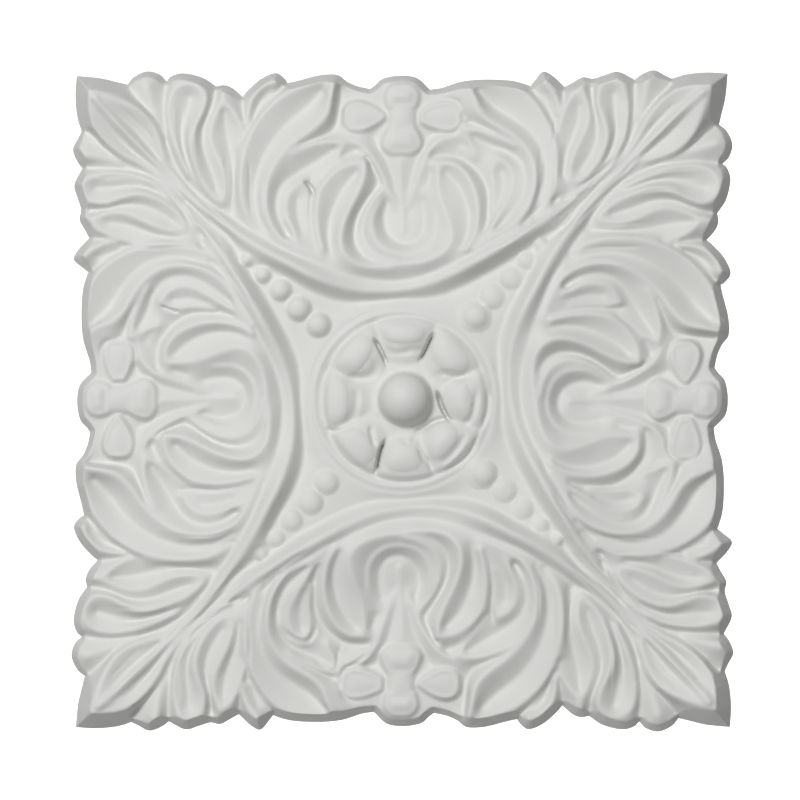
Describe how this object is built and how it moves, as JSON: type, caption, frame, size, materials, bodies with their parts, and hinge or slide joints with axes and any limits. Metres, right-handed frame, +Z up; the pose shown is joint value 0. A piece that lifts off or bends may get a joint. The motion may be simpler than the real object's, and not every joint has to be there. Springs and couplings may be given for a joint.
{
  "type": "rosette applique",
  "caption": "Square carved-look wall applique with a petalled rosette and boss, beaded diagonals, corner leaves and a scrolled spray on each side, flat at the back.",
  "frame": {"origin": "middle of the flat back face, where the piece is stuck to the wall, ceiling or panel", "axes": "+Z up as it hangs, +X to the right seen from the front, +Y into the wall; the carved face looks along -Y"},
  "size_m": [0.2245, 0.0214, 0.2243],
  "materials": {
    "primed_white": "factory-primed white on moulded rigid polyurethane, matte"
  },
  "bodies": {
    "root": {"rosette_applique": "primed_white"}
  },
  "joints": []
}
